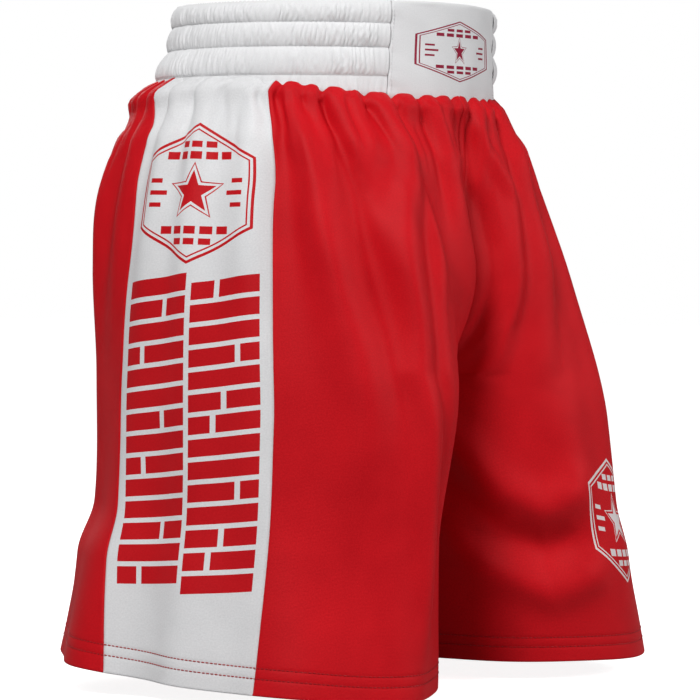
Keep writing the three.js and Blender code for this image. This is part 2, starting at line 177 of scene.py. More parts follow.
def surface(leg, station, level):
    """The smooth leg before any folds, by station round it and level below the waist seam."""
    station, level = np.broadcast_arrays(np.asarray(station, float), np.asarray(level, float))
    turn = np.pi * station
    torso_x = column(TORSO, 1, level) * np.sin(turn)
    torso_y = column(TORSO, 3, level) - column(TORSO, 2, level) * np.cos(turn)
    middle = np.minimum(station, 1 - station)
    pull = (1 - smooth(0, 0.3, middle)) * (1 - smooth(CROTCH, MID, level))
    centre_y = mix(column(leg["rings"], 2, level), CROTCH_Y, pull)
    depth = column(leg["rings"], 4, level)
    leg_x = column(leg["rings"], 1, level) + column(leg["rings"], 3, level) * (1 - np.cos(2 * turn))
    leg_y = centre_y - depth * np.sin(2 * turn)
    start = np.where(station < 0.5, FRONT_VALLEY, BACK_VALLEY) * (1 - np.exp(-level / VALLEY_REACH))
    rise = np.clip((level - RISE) / (CROTCH - RISE), 0, 1)
    sharp = mix(start, 1, 1 - np.sqrt(1 - rise**2))
    gentle = mix(0.25 * smooth(0, HIP, level), 1, smooth(HIP, CROTCH * 1.17, level))
    split = mix(gentle, sharp, 1 - smooth(0, 0.22, middle))
    x = leg["side"] * mix(torso_x, leg_x, split)
    y = mix(torso_y, leg_y, split)
    droop = leg["tilt"] * (0.05 + (centre_y - y) / depth) * smooth(CROTCH, LEG_DROP, level)
    z = mix(seam_height(station), FOOT_FRONT, level / LEG_DROP) - level - droop
    return np.stack([x, y, z], -1)


def surface_normal(leg, station, level):
    """Direction straight out of the smooth leg."""
    s = np.clip(station, 0.003, 0.997)
    v = np.maximum(level, 0.5)
    along = surface(leg, s + 0.002, v) - surface(leg, s - 0.002, v)
    down = surface(leg, s, v + 0.4) - surface(leg, s, v - 0.4)
    return unit(np.cross(along, down) * -leg["side"])


def station_at(u, level):
    """Station of a column at a level: the panels' edges keep whole columns."""
    front, back = column(SIDE_FRONT, 1, level), column(SIDE_BACK, 1, level)
    a = u / CELLS[0] * front
    b = mix(front, back, (u - U_EDGES[1]) / CELLS[1])
    c = mix(back, 1, (u - U_EDGES[2]) / CELLS[2])
    return np.where(u < U_EDGES[1], a, np.where(u < U_EDGES[2], b, c))


def level_at(station, v):
    """Level of a row: rows follow the curve of the rise at the middle and are level outside."""
    run = np.minimum(v, HEM_TOP) / HEM_TOP * MIDDLE_LENGTH
    arc = np.clip((run - RISE) / RISE_ARC, 0, 1) * (np.pi / 2)
    on_rise = np.where(run < RISE, run, RISE + (CROTCH - RISE) * np.sin(arc))
    middle = np.where(run > RISE_LENGTH, CROTCH + run - RISE_LENGTH, on_rise)
    inner = 1 - smooth(0, 0.3, np.minimum(station, 1 - station))
    return np.where(v > HEM_TOP, v, mix(np.minimum(v, HEM_TOP), middle, inner))


def place(u, v):
    u, v = np.broadcast_arrays(np.asarray(u, float), np.asarray(v, float))
    level = level_at(station_at(u, MID), v)
    return station_at(u, level), level


# ---- Folds sewn in at the waist ----
# Tucks in the gathered seam: where round the waist, from 0 at the centre front to 1 at the centre
# back and negative on the right leg; depth; how far down they reach; sideways drift down the leg.
TUCKS = [
    (-0.022, 4.0, 60, 3), (-0.062, 3.0, 45, -4), (-0.105, 6.5, 150, 0), (-0.158, 6.0, 210, 2),
    (-0.212, 6.5, 120, 6), (-0.243, 3.5, 40, -8), (-0.288, 7.0, 170, 3), (-0.322, 4.0, 45, 9),
    (-0.362, 5.0, 100, -6), (0.03, 5.5, 90, 12), (0.075, 4.5, 70, 14), (0.118, 6.0, 130, 4),
]  # fmt: skip
# Long soft folds below them: where, height, first and last level, width.
SOFT_FOLDS = [
    (-0.345, 3.0, 20, 330, 13), (-0.255, 3.4, 15, 300, 12), (-0.185, 3.0, 20, 380, 12),
    (-0.125, -3.5, 20, 330, 11), (-0.06, 2.5, 25, 260, 10), (0.06, 3.0, 15, 180, 11),
    (0.16, 3.0, 20, 260, 16), (0.3, 3.0, 30, 330, 15),
]  # fmt: skip


def seeded_tucks():
    """Tucks for the rest of the waist, 17 to 29 mm apart."""
    rng = np.random.default_rng(11)
    tucks, at = [], 0.165
    while at < 2 - 0.385:
        where = at if at < 1 else at - 2
        on_side = 0.392 < abs(where) < 0.6
        depth = rng.uniform(2.5, 4.5) if on_side else rng.uniform(3.5, 7.0)
        tucks.append((where, depth, rng.uniform(40, 170), rng.uniform(-8, 8)))
        at += rng.uniform(17, 29) / 400
    return tucks


def seeded_folds():
    """Soft folds for the rest of the waist, 36 to 60 mm apart."""
    rng = np.random.default_rng(5)
    folds, at = [], 0.37
    while at < 2 - 0.37:
        where = at if at < 1 else at - 2
        height = rng.uniform(1.5, 3.6) * (0.5 if 0.392 < abs(where) < 0.6 else 1)
        folds.append((where, height, rng.uniform(10, 30), rng.uniform(180, 380), rng.uniform(9, 15)))
        at += rng.uniform(36, 60) / 400
    return folds


ALL_TUCKS = TUCKS + seeded_tucks()
ALL_FOLDS = SOFT_FOLDS + seeded_folds()
TUCK_SCALE, FOLD_SCALE = 1.35, 1.5
# How far the legs' top edge is lifted, by station.
LIFT_STATIONS = (0, 0.1, 0.19, 0.28, 0.36, 0.5, 1)
LIFTS = (-0.5, -1.5, -2.3, -0.4, 1.4, 2.2, 2.4)
# Length from station 0 to 1, by level.
LOOP_LEVELS, LOOP_LENGTHS = (0, 30, 75, 130, 205, 417), (400, 450, 500, 540, 600, 640)


def sewn_folds(leg, station, level):
    """How far the folds move the cloth out, and how far they lift its top edge."""
    loop = np.interp(level, LOOP_LEVELS, LOOP_LENGTHS)
    out = np.zeros(np.shape(station))
    edge = np.zeros(np.shape(station))
    here = leg["side"] * station
    for where, depth, reach, drift in ALL_TUCKS:
        away = ((here - where + 1) % 2 - 1) * loop + leg["side"] * drift * level / 100
        width = 2.2 + 0.09 * level
        pinch = np.exp(0.3 - np.sqrt((away / width) ** 2 + 0.09))
        fading = mix(0.2, 1, smooth(0, 9, level)) * np.exp(-((level / reach) ** 1.4))
        out -= TUCK_SCALE * depth * pinch * fading
        edge -= 0.55 * depth * np.exp(0.3 - np.sqrt((away / 2.4) ** 2 + 0.09))
    for where, height, first, last, width in ALL_FOLDS:
        away = ((here - where + 1) % 2 - 1) * loop
        spread = width * (1 + level / 600)
        along = smooth(0, first, level) * (1 - smooth(0.35 * last, last, level))
        out += FOLD_SCALE * height * along * np.exp(-((away / spread) ** 2))
    lift = np.interp(station, LIFT_STATIONS, LIFTS)
    return out + 2.0 * (1 - smooth(0, 20, level)), (edge + lift) * (1 - smooth(0, 14, level))


def flare(station):
    """How far the foot of the band and the waist seam stand out, most at the back."""
    return 1.0 + 6.5 * smooth(0.42, 0.85, station)


# ---- Cloth simulation of both legs ----
ROW_STARTS = [0, 2.5, 5, 7.5, 10.5, 14, 18]


def row_values():
    """Levels of the grid's rows on the outer side, close together under the waist seam."""
    upper = np.linspace(18, V_CROTCH, 48)[1:]
    lower = np.linspace(V_CROTCH, HEM_TOP, 29)[1:]
    hem = np.linspace(HEM_TOP, LEG_DROP, 5)[1:]
    return np.concatenate([ROW_STARTS, upper, lower, hem])


ROWS = row_values()
CROTCH_ROW = int(np.argmin(abs(ROWS - V_CROTCH)))
COLS = np.arange(U_EDGES[-1] + 1.0)
# How much wider than the leg the cloth is cut, by row.
GATHER_ROWS, GATHER = (0, 20, 45, 90, 150, 230), (1.36, 1.22, 1.13, 1.07, 1.03, 1.0)
# Rows of the grid, and how firmly the simulation holds them.
PINS = ((slice(0, 1), 1.0), (slice(1, 3), 0.3), (slice(3, None), 0.04))
CLOTH_SETTINGS = {
    "quality": 7,
    "mass": 0.02,
    "tension_stiffness": 30,
    "compression_stiffness": 30,
    "shear_stiffness": 4,
    "bending_stiffness": 1.2,
    "tension_damping": 12,
    "compression_damping": 12,
    "shear_damping": 6,
    "bending_damping": 1.5,
    "air_damping": 2,
    "vertex_group_mass": "hold",
    "pin_stiffness": 1.0,
}


def start_grid(leg):
    """The leg's cloth before the simulation: the smooth surface, and the same with its sewn folds."""
    station, level = place(COLS[None, :], ROWS[:, None])
    normal = surface_normal(leg, station, level)
    spread = flare(station) * (1 - smooth(0, 16, level))
    base = surface(leg, station, level) + normal * (1, 1, 0) * spread[..., None]
    out, lift = sewn_folds(leg, station, level)
    folded = base + normal * out[..., None]
    folded[..., 2] += lift
    for points in (folded, base):
        points[:CROTCH_ROW, [0, -1], 0] = 0
    return base, folded


def pattern_grid(base):
    """The same cloth before it is gathered: rows as long as they were cut, columns unchanged."""
    ease = np.interp(ROWS, GATHER_ROWS, GATHER)[:, None]
    pattern = base.copy()
    middle = column(TORSO, 3, np.minimum(ROWS, CROTCH))[:, None]
    pattern[..., 0] = base[..., 0] * ease
    pattern[..., 1] = middle + (base[..., 1] - middle) * ease
    for i in range(1, len(ROWS)):
        length = np.linalg.norm(base[i] - base[i - 1], axis=-1)
        flat = np.linalg.norm(pattern[i, :, :2] - pattern[i - 1, :, :2], axis=-1)
        drop = np.sqrt(np.maximum(length**2 - flat**2, (0.25 * length) ** 2))
        pattern[i, :, 2] = pattern[i - 1, :, 2] - drop
    return pattern


def weld_map(rows, cols):
    """Vertex number of each grid point of the two legs, joined along the rise and the inseams."""
    number = np.arange(2 * rows * cols).reshape(2, rows, cols)
    for end in (0, cols - 1):
        number[1, : CROTCH_ROW + 1, end] = number[0, : CROTCH_ROW + 1, end]
    number[:, CROTCH_ROW, cols - 1] = number[0, CROTCH_ROW, 0]
    number[:, CROTCH_ROW, 0] = number[0, CROTCH_ROW, 0]
    number[:, CROTCH_ROW + 1 :, cols - 1] = number[:, CROTCH_ROW + 1 :, 0]
    used, compact = np.unique(number, return_inverse=True)
    return compact.reshape(number.shape), len(used)


def weld(number, count, grids):
    """Average of the grid points that share a vertex."""
    total, hits = np.zeros((count, 3)), np.zeros(count)
    np.add.at(total, number.ravel(), np.stack(grids).reshape(-1, 3))
    np.add.at(hits, number.ravel(), 1)
    return total / hits[:, None]


def simulate(frames=34):
    """Hangs the gathered cloth of both legs from the waist seam and lets it fall."""
    base, folded = zip(*(start_grid(leg) for leg in LEGS.values()))
    number, count = weld_map(len(ROWS), len(COLS))
    start = weld(number, count, folded) * MM
    pattern = weld(number, count, [pattern_grid(b) for b in base]) * MM
    faces = []
    for side in (0, 1):
        a, b = number[side, :-1, :-1].ravel(), number[side, :-1, 1:].ravel()
        c, d = number[side, 1:, 1:].ravel(), number[side, 1:, :-1].ravel()
        faces += np.stack([a, b, c, d], -1).tolist()
    mesh = bpy.data.meshes.new("hanging_cloth")
    mesh.from_pydata(start.tolist(), [], faces)
    cloth = bpy.data.objects.new("hanging_cloth", mesh)
    bpy.context.scene.collection.objects.link(cloth)
    cloth.shape_key_add(name="Basis")
    cut = cloth.shape_key_add(name="Pattern")
    cut.data.foreach_set("co", pattern.ravel())
    hold = cloth.vertex_groups.new(name="hold")
    for rows, firmness in PINS:
        hold.add(np.unique(number[:, rows]).tolist(), firmness, "REPLACE")
    modifier = cloth.modifiers.new("Cloth", "CLOTH")
    for key, value in CLOTH_SETTINGS.items():
        setattr(modifier.settings, key, value)
    modifier.settings.rest_shape_key = cut
    modifier.collision_settings.use_collision = False
    modifier.point_cache.frame_end = frames
    scene = bpy.context.scene
    for step in range(1, frames + 1):
        scene.frame_set(step)
    hung = cloth.evaluated_get(bpy.context.evaluated_depsgraph_get()).data
    points = np.zeros(count * 3)
    hung.vertices.foreach_get("co", points)
    points = points.reshape(-1, 3) / MM
    bpy.data.objects.remove(cloth)
    bpy.data.meshes.remove(mesh)
    scene.frame_set(1)
    return base, [points[number[side]] for side in (0, 1)]


def gaussian(reach):
    """Reach in cells and weights of a Gaussian blur."""
    span = int(3 * reach)
    kernel = np.exp(-((np.arange(-span, span + 1) / reach) ** 2) / 2)
    return span, kernel / kernel.sum()


def widened(own, other, columns):
    """One leg's grid with more columns at both ends, from across the rise or the inseam."""
    above = (np.arange(len(ROWS)) < CROTCH_ROW)[:, None, None]
    before = np.where(above, other[:, columns:0:-1], own[:, -columns - 1 : -1])
    after = np.where(above, other[:, -2 : -columns - 2 : -1], own[:, 1 : columns + 1])
    return np.concatenate([before, own, after], 1)


def blurred(own, other, rows, columns):
    """Gaussian blur of one leg's grid, carried across the rise and the inseam."""
    span, kernel = gaussian(columns)
    wide = np.apply_along_axis(np.convolve, 1, widened(own, other, span), kernel, "valid")
    span, kernel = gaussian(rows)
    tall = np.pad(wide, [(span, span), (0, 0), (0, 0)], mode="edge")
    return np.apply_along_axis(np.convolve, 0, tall, kernel, "valid")


# Drape folds laid over the simulated cloth, after those in the photo: leg, height, half width, and
# the line each follows as (station, level) points. A negative height is a hollow.
DRAPES = [
    ("right", 7.0, 11, [(0.185, 20), (0.213, 78), (0.256, 144), (0.293, 200), (0.268, 294), (0.235, 417)]),
    ("right", -5.5, 9, [(0.155, 22), (0.178, 78), (0.218, 144), (0.252, 200), (0.23, 294), (0.195, 400)]),
    ("right", 9.0, 70, [(0.656, 300), (0.656, 417), (0.656, 530)]),
    ("right", 4.5, 15, [(0.86, 12), (0.83, 110), (0.81, 230), (0.80, 380), (0.80, 470)]),
    ("right", -4.0, 13, [(0.79, 15), (0.76, 120), (0.74, 240), (0.73, 360)]),
    ("right", 4.0, 13, [(0.71, 20), (0.69, 120), (0.68, 260), (0.67, 400)]),
    ("right", -3.5, 13, [(0.245, 30), (0.285, 110), (0.315, 190), (0.32, 260)]),
    ("right", 4.0, 14, [(0.315, 20), (0.34, 110), (0.355, 200), (0.36, 330)]),
    ("right", 3.0, 14, [(0.06, 20), (0.08, 60), (0.11, 120), (0.13, 200), (0.12, 330)]),
    ("right", 2.6, 8, [(0.085, 6), (0.07, 40), (0.06, 58)]),
    ("left", 5.0, 8, [(0.03, 8), (0.055, 38), (0.085, 62), (0.1, 80)]),
    ("left", -5.5, 9, [(0.03, 60), (0.045, 110), (0.05, 160), (0.05, 200)]),
    ("left", 5.5, 10, [(0.10, 50), (0.09, 110), (0.095, 170), (0.12, 230)]),
    ("left", 8.0, 14, [(0.03, 208), (0.08, 255), (0.12, 290), (0.155, 302), (0.19, 290), (0.225, 262)]),
    ("left", -7.0, 12, [(0.03, 245), (0.07, 290), (0.105, 322), (0.15, 334), (0.19, 322), (0.21, 305)]),
    ("left", 6.5, 14, [(0.05, 300), (0.09, 345), (0.15, 366), (0.2, 352), (0.235, 330)]),
    ("left", -4.5, 16, [(0.17, 40), (0.19, 120), (0.2, 200), (0.17, 250)]),
    ("left", 6.0, 70, [(0.345, 300), (0.345, 417), (0.345, 530)]),
    ("left", 4.5, 15, [(0.84, 15), (0.82, 120), (0.78, 240), (0.79, 400), (0.79, 480)]),
    ("left", -4.0, 12, [(0.90, 30), (0.88, 130), (0.86, 250), (0.87, 380)]),
    ("left", 4.0, 14, [(0.70, 15), (0.69, 130), (0.67, 280), (0.66, 400)]),
    ("left", 3.5, 13, [(0.40, 20), (0.41, 120), (0.42, 260), (0.40, 400)]),
]  # fmt: skip


LEG_ROUND = 620         # length of cloth that one whole station stands for in a drape fold's width


def along_line(x, y, line):
    """Distance of each point from a line of points, and how far along the line it is, 0 to 1."""
    line = np.array(line, float)
    steps = np.linalg.norm(np.diff(line, axis=0), axis=1)
    starts = np.concatenate([[0], np.cumsum(steps)])
    best, share = np.full(x.shape, 1e9), np.zeros(x.shape)
    for a, b, start, step in zip(line[:-1], line[1:], starts, steps):
        t = np.clip(((x - a[0]) * (b[0] - a[0]) + (y - a[1]) * (b[1] - a[1])) / step**2, 0, 1)
        away = np.hypot(x - mix(a[0], b[0], t), y - mix(a[1], b[1], t))
        closer = away < best
        best = np.where(closer, away, best)
        share = np.where(closer, (start + t * step) / starts[-1], share)
    return best, share


def drape(side, station, level):
    """Height of the drape folds of one leg."""
    out = np.zeros(station.shape)
    for where, height, width, line in DRAPES:
        if where == side:
            around = [(s * LEG_ROUND, v) for s, v in line]
            away, share = along_line(station * LEG_ROUND, level, around)
            ends = smooth(0, 0.18, share) * (1 - smooth(0.75, 1.0, share))
            out += height * ends * np.exp(-((away / width) ** 2))
    return out


def rejoin(right, left):
    """Closes the rise and the inseams again, sharing out what came apart over a few columns."""
    near = 1 - smooth(0, 12, COLS)[:, None]
    far = near[::-1]
    upper, lower = slice(0, CROTCH_ROW + 1), slice(CROTCH_ROW, None)
    for end, weight in ((0, near), (-1, far)):
        apart = (right[upper, end] - left[upper, end])[:, None] / 2
        right[upper] -= apart * weight
        left[upper] += apart * weight
    for points in (right, left):
        apart = (points[lower, 0] - points[lower, -1])[:, None] / 2
        points[lower] += apart * (far - near)
    return right, left


SAG_REACH = (9, 11)     # rows and columns of the blur that finds the slow sag


def settle(base, hung):
    """Keeps the simulated folds, broader lower down, takes out the slow sag, so that the outline
    holds, and lays the drape folds over the cloth."""
    moved = [h - b for b, h in zip(base, hung)]
    slow = [blurred(moved[k], moved[1 - k], *SAG_REACH) for k in (0, 1)]
    rest = [m - s for m, s in zip(moved, slow)]
    hold = smooth(6, 40, ROWS)[:, None, None]
    soft, broad = smooth(25, 90, ROWS)[:, None, None], smooth(80, 220, ROWS)[:, None, None]
    station, level = place(COLS[None, :], ROWS[:, None])
    out = []
    for k, side in enumerate(LEGS):
        mild = blurred(moved[k], moved[1 - k], 1.5, 1.3)
        smoothed = blurred(moved[k], moved[1 - k], 4, 3.0)
        folds = mix(mix(moved[k], mild, soft), smoothed, broad) - slow[k] * hold
        folds -= blurred(rest[k], rest[1 - k], *SAG_REACH) * hold
        lie = surface_normal(LEGS[side], station, level) * drape(side, station, level)[..., None]
        out.append(base[k] + folds + lie)
    return rejoin(*out)


class Grid:
    """The folded cloth of one leg, at any column and row."""

    def __init__(self, own, other):
        wide = widened(own, other, 2)
        top = [2 * wide[0] - wide[2], 2 * wide[0] - wide[1]]
        foot = [2 * wide[-1] - wide[-2], 2 * wide[-1] - wide[-3]]
        self.points = np.concatenate([np.stack(top), wide, np.stack(foot)], 0)

    def at(self, u, v):
        """Point of the cloth, by smooth interpolation between the grid's own points."""
        u, v = np.broadcast_arrays(np.asarray(u, float), np.asarray(v, float))
        row = np.interp(v, ROWS, np.arange(len(ROWS))) + 2
        row = np.where(v < 0, 2 + v / ROWS[1], row)
        col = np.clip(u, -0.99, U_EDGES[-1] + 0.99) + 2
        i = np.clip(np.floor(row).astype(int), 1, self.points.shape[0] - 3)
        j = np.clip(np.floor(col).astype(int), 1, self.points.shape[1] - 3)
        a, b = self.weights(row - i), self.weights(col - j)
        total = 0
        for m in range(4):
            for n in range(4):
                total = total + (a[m] * b[n])[..., None] * self.points[i + m - 1, j + n - 1]
        return total

    @staticmethod
    def weights(t):
        t2, t3 = t * t, t * t * t
        return (
            (-t3 + 2 * t2 - t) / 2,
            (3 * t3 - 5 * t2 + 2) / 2,
            (-3 * t3 + 4 * t2 + t) / 2,
            (t3 - t2) / 2,
        )


def grid_normal(leg, grid, u, v):
    """Direction straight out of the folded cloth."""
    v = np.clip(v, 0.3, LEG_DROP - 0.6)
    along = grid.at(u + 0.2, v) - grid.at(u - 0.2, v)
    down = grid.at(u, v + 0.5) - grid.at(u, v - 0.5)
    return unit(np.cross(along, down) * -leg["side"])


# ---- Meshes ----
def turned_over(faces):
    """Faces that look the other way, each from the same first corner."""
    return [[face[0], *face[:0:-1]] for face in faces]


def outward(points, faces):
    """The faces of a closed mesh, turned over if they point in."""
    volume = 0.0
    for face in faces:
        corners = points[face]
        for second, third in zip(corners[1:], corners[2:]):
            volume += np.dot(corners[0], np.cross(second, third))
    return faces if volume > 0 else turned_over(faces)


def tube(rings, sides):
    """Faces of a closed tube whose points come ring by ring."""
    faces = []
    for i in range(0, (rings - 1) * sides, sides):
        for j in range(sides):
            k = (j + 1) % sides
            faces.append([i + j, i + k, i + sides + k, i + sides + j])
    faces.append(list(range(sides - 1, -1, -1)))
    faces.append([(rings - 1) * sides + j for j in range(sides)])
    return faces


def make_mesh(name, points, faces, flat=None, ink=None, materials=()):
    """A smooth mesh in metres. flat is the place of each point on the uncut cloth, in mm, and is
    left out for a closed mesh; ink is the material number of each face."""
    if flat is None:
        faces = outward(points, faces)
    mesh = bpy.data.meshes.new(name)
    mesh.from_pydata((np.asarray(points) * MM).tolist(), [], [list(map(int, f)) for f in faces])
    if flat is not None:
        place_on_cloth = mesh.attributes.new("flat", "FLOAT_VECTOR", "POINT")
        data = np.zeros((len(flat), 3), np.float32)
        data[:, :2] = np.asarray(flat)
        place_on_cloth.data.foreach_set("vector", data.ravel())
    for material in materials:
        mesh.materials.append(material)
    if ink is not None:
        mesh.polygons.foreach_set("material_index", np.asarray(ink, np.int32))
    mesh.polygons.foreach_set("use_smooth", np.ones(len(mesh.polygons), bool))
    mesh.update()
    piece = bpy.data.objects.new(name, mesh)
    bpy.context.scene.collection.objects.link(piece)
    return piece


def quads(rows, cols):
    """Faces of a grid of points."""
    number = np.arange(rows * cols).reshape(rows, cols)
    a, b = number[:-1, :-1].ravel(), number[:-1, 1:].ravel()
    c, d = number[1:, 1:].ravel(), number[1:, :-1].ravel()
    return np.stack([a, b, c, d], -1)


def thicken(piece, thickness):
    """Gives a sheet its thickness, on the inner side of its face."""
    solid = piece.modifiers.new("Cloth thickness", "SOLIDIFY")
    solid.thickness = thickness * MM
    solid.offset = -1.0
    solid.use_even_offset = False
    return piece


def finish_piece(piece, node_name):
    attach(piece, "root")
    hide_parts(node_name)
    return piece


# ---- Panel cloth with its turned-up hem ----
FOLD_RADIUS = 0.85
FOLD_START = LEG_DROP - FOLD_RADIUS
FOLD_ARC = math.pi * FOLD_RADIUS
PATH_END = FOLD_START + FOLD_ARC + HEM_FOLD - FOLD_RADIUS
GROOVE_DEPTH, GROOVE_WIDTH = 0.35, 1.1  # of the groove along a row of hem stitching
SEAM_PULL = 0.9                         # how far a panel is drawn in at its seams, and how near them


def hem_path(run):
    """Row and inward offset of the cloth after a run down it: round the hem and up inside."""
    turn = np.clip((run - FOLD_START) / FOLD_RADIUS, 0, math.pi)
    up = np.maximum(run - FOLD_START - FOLD_ARC, 0)
    row = np.minimum(run, FOLD_START) + FOLD_RADIUS * np.sin(turn) - up
    return row, FOLD_RADIUS * (1 - np.cos(turn))


def cloth_points(leg, grid, u, run, edge_distance):
    """Points of a panel, drawn in along its seams and its rows of hem stitching."""
    row, inward = hem_path(run)
    base = grid.at(u, row)
    out = grid_normal(leg, grid, u, row)
    outer = run < FOLD_START
    groove = sum(np.exp(-(((run - (LEG_DROP - s)) / GROOVE_WIDTH) ** 2)) for s in STITCH_ROWS)
    drawn = np.exp(-((edge_distance / SEAM_PULL) ** 2))
    sink = (GROOVE_DEPTH * groove + SEAM_PULL * drawn) * outer
    return base - out * (inward + sink)[..., None]


def run_values(step):
    """Runs down a panel, close together at the top, at the stitching and round the hem."""
    top = [0, 0.8, 1.8, 3, 4.5, 6, 8]
    body = np.linspace(8, HEM_TOP, int((HEM_TOP - 8) / step))[1:]
    hem = []
    for s in STITCH_ROWS:
        at = LEG_DROP - s
        hem += [at - 2.4, at - 1.2, at - 0.5, at, at + 0.5, at + 1.2, at + 2.4]
    hem += [LEG_DROP - 6, LEG_DROP - 3.5, LEG_DROP - 1.8, FOLD_START]
    turn = list(FOLD_START + FOLD_ARC * np.array([0.25, 0.5, 0.75, 1.0]))
    up = list(np.linspace(FOLD_START + FOLD_ARC, PATH_END, 7)[1:])
    return np.concatenate([top, body, sorted(hem), turn, up])


def edge_steps(width, step):
    """Distances across a panel, close together at both edges."""
    near = [0, 0.35, 0.8, 1.4, 2.2, 3.6]
    inner = np.linspace(3.6, width - 3.6, int((width - 7.2) / step) + 1)[1:-1]
    return np.concatenate([near, inner, width - np.array(near[::-1])])


PANEL_STEP = 2.6
# Each panel's first and last edge, and its width on the cloth the print and the weave are laid out on.
PANELS = {
    "front_panel": (U_EDGES[0], U_EDGES[1], 318.0),
    "side_panel": (U_EDGES[2], U_EDGES[1], 112.0),
    "back_panel": (U_EDGES[2], U_EDGES[3], 338.0),
}


def panel(name, side, leg, grid, materials, shapes=()):
    """One panel of a leg. Shapes are its print, in the second material."""
    first, last, width = PANELS[name]
    across, run = edge_steps(width, PANEL_STEP), run_values(PANEL_STEP)
    if shapes:
        flat, faces, ink = printed_sheet(across, run, shapes)
    else:
        flat = np.stack(np.meshgrid(across, run), -1).reshape(-1, 2)
        faces, ink = quads(len(run), len(across)), None
    if (leg["side"] > 0) == (first < last):
        faces = turned_over(faces)
    u = mix(first, last, flat[:, 0] / width)
    distance = np.minimum(flat[:, 0], width - flat[:, 0])
    points = cloth_points(leg, grid, u, flat[:, 1], distance)
    return thicken(make_mesh(f"{side}_{name}_cloth", points, faces, flat, ink, materials), CLOTH)


# ---- Prints: plain shapes only ----
def star(outer, inner):
    """A five-pointed star."""
    angles = np.pi / 2 + np.pi * np.arange(10) / 5
    radius = np.where(np.arange(10) % 2 == 0, outer, inner)
    return np.stack([radius * np.cos(angles), radius * np.sin(angles)], -1)


def block(x0, y0, x1, y1):
    return np.array([[x0, y0], [x1, y0], [x1, y1], [x0, y1]])


def badge(width, height):
    """A six-sided badge: double outline, star, and short bars over and under the star."""
    size = (width / 2, height / 2)
    angles = np.pi / 6 + 2 * np.pi * np.arange(6) / 6
    hexagon = np.stack([1 / math.cos(math.pi / 6) * np.cos(angles), np.sin(angles)], -1)
    small = min(size)
    shapes = [hexagon * scale * size for scale in (1.0, 0.955, 0.915, 0.89)]
    shapes += [star(a * small, b * small) for a, b in ((0.36, 0.145), (0.45, 0.195), (0.49, 0.22))]
    for sign in (1, -1):
        for parts, reach, low, high in ((5, 0.60, 0.47, 0.58), (3, 0.34, 0.64, 0.73)):
            step = 2 * reach / parts
            for k in range(parts):
                x0, x1 = (-reach + step * k + 0.03) * size[0], (-reach + step * (k + 1) - 0.03) * size[0]
                y0, y1 = sorted([sign * low * size[1], sign * high * size[1]])
                shapes.append(block(x0, y0, x1, y1))
        for k, inner in enumerate((0.60, 0.52, 0.60)):
            x0, x1 = sorted([sign * inner * size[0], sign * 0.80 * size[0]])
            y = (0.17 - 0.17 * k) * size[1]
            shapes.append(block(x0, y - 0.032 * size[1], x1, y + 0.032 * size[1]))
    return shapes


def strip_bars(x0, x1, top, foot, count, splits):
    """A column of slanted bars down the strip, some of them split in two."""
    pitch, slant, gap = (foot - top) / count, -7.0, 3.4
    shapes = []
    for k in range(count):
        y, split = top - slant + pitch * k, splits[k % len(splits)]
        parts = [(x0, x1)]
        if split:
            cut = mix(x0, x1, split)
            parts = [(x0, cut - gap / 2), (cut + gap / 2, x1)]
        for a, b in parts:
            rise = slant * (np.array([a, b]) - x0) / (x1 - x0)
            low, high = y + rise, y + rise + pitch - gap
            shapes.append(np.array([[a, low[0]], [b, low[1]], [b, high[1]], [a, high[0]]]))
    return shapes


def side_print():
    """Shapes on a side strip, by distance from its back edge and run down it."""
    shapes = [s * (1, -1) + (56, 78) for s in badge(88, 100)]
    shapes += strip_bars(9, 57, 134, 352, 14, (0, 0.62, 0, 0.3, 0))
    shapes += strip_bars(60.5, 104.5, 134, 352, 14, (0.35, 0, 0, 0.7, 0, 0.5))
    return shapes


def split_outline(shape, step):
    """An outline with points no further apart than step."""
    out = []
    for a, b in zip(shape, np.roll(shape, -1, 0)):
        parts = max(1, int(np.ceil(np.linalg.norm(b - a) / step)))
        out += [mix(a, b, k / parts) for k in range(parts)]
    return np.array(out)


def printed_sheet(xs, ys, shapes, step=2.2):
    """Triangles over a rectangle whose edges follow the shapes: points, faces, ink per face."""
    lattice = np.stack(np.meshgrid(xs, ys), -1).reshape(-1, 2)
    outlines = [split_outline(s, step) for s in shapes]
    dense = np.concatenate([split_outline(s, 0.5) for s in shapes])
    low, high = dense.min(0) - 2, dense.max(0) + 2
    near = np.all((lattice > low) & (lattice < high), -1)
    x, y = lattice.T
    border = (x <= xs[0]) | (x >= xs[-1]) | (y <= ys[0]) | (y >= ys[-1])
    keep = np.ones(len(lattice), bool)
    candidates = np.flatnonzero(near & ~border)
    for start in range(0, len(candidates), 400):
        part = candidates[start : start + 400]
        away = np.min(((lattice[part, None] - dense[None]) ** 2).sum(-1), 1)
        keep[part] = away > 0.55**2
    points = [lattice[keep]]
    faces, count = [], int(keep.sum())
    for outline in outlines:
        x, y = outline.T
        if np.sum(x * np.roll(y, -1) - y * np.roll(x, -1)) < 0:
            outline = outline[::-1]
        faces.append(list(range(count, count + len(outline))))
        points.append(outline)
        count += len(outline)
    points = np.concatenate(points)
    made = delaunay_2d_cdt([Vector(p) for p in points.tolist()], [], faces, 0, 1e-5)
    return np.array([v[:] for v in made[0]]), made[2], [len(owners) % 2 for owners in made[5]]


def badge_print():
    """The badge low on the outer half of a front panel, by distance from the middle and run down."""
    return [s * (1, -1) + (0.266 / 0.434 * PANELS["front_panel"][2], 315) for s in badge(84, 92)]


